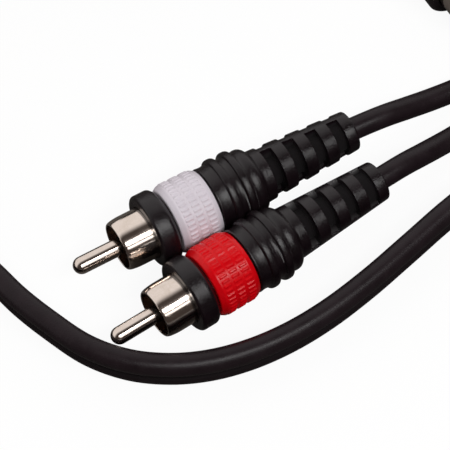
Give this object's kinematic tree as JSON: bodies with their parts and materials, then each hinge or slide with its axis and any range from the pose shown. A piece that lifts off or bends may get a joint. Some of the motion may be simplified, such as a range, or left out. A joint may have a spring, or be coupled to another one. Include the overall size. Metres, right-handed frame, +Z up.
{
  "type": "rca audio cable",
  "caption": "Stereo phono lead with moulded plugs, white and red grip rings and slotted strain reliefs, on a black figure-of-eight twin cord that is partly coiled.",
  "frame": {"origin": "on the table, under the middle of the near pair of plugs", "axes": "+X from the near plugs' pins to their cords, +Y from the red plug to the white one, +Z up"},
  "size_m": [0.1322, 0.1654, 0.0184],
  "materials": {
    "nickel": "bright nickel plate, slightly warm",
    "dark_insulator": "dark moulded, matt",
    "black_moulding": "satin black soft moulding",
    "white_ring": "satin off-white moulding",
    "red_ring": "semi-gloss red moulding",
    "wire_insulation": "natural foam insulation",
    "copper": "bare stranded copper",
    "black_jacket": "satin black flexible jacket",
    "tie_strap": "woven strap"
  },
  "bodies": {
    "root": {"near_white_centre_pin": "nickel", "near_white_ground_shell": "nickel", "near_white_insulator": "dark_insulator", "near_white_core_moulding": "black_moulding", "near_white_colour_ring": "white_ring", "near_white_boot": "black_moulding", "near_white_inner_conductor": "wire_insulation", "near_white_shield_pigtail": "copper", "near_red_centre_pin": "nickel", "near_red_ground_shell": "nickel", "near_red_insulator": "dark_insulator", "near_red_core_moulding": "black_moulding", "near_red_colour_ring": "red_ring", "near_red_boot": "black_moulding", "near_red_inner_conductor": "wire_insulation", "near_red_shield_pigtail": "copper", "far_white_centre_pin": "nickel", "far_white_ground_shell": "nickel", "far_white_insulator": "dark_insulator", "far_white_core_moulding": "black_moulding", "far_white_colour_ring": "white_ring", "far_white_boot": "black_moulding", "far_white_inner_conductor": "wire_insulation", "far_white_shield_pigtail": "copper", "far_red_centre_pin": "nickel", "far_red_ground_shell": "nickel", "far_red_insulator": "dark_insulator", "far_red_core_moulding": "black_moulding", "far_red_colour_ring": "red_ring", "far_red_boot": "black_moulding", "far_red_inner_conductor": "wire_insulation", "far_red_shield_pigtail": "copper", "near_white_tail": "black_jacket", "near_red_tail": "black_jacket", "far_white_tail": "black_jacket", "far_red_tail": "black_jacket", "twin_cord": "black_jacket", "cord_coil": "black_jacket", "coil_tie": "tie_strap"}
  },
  "joints": []
}
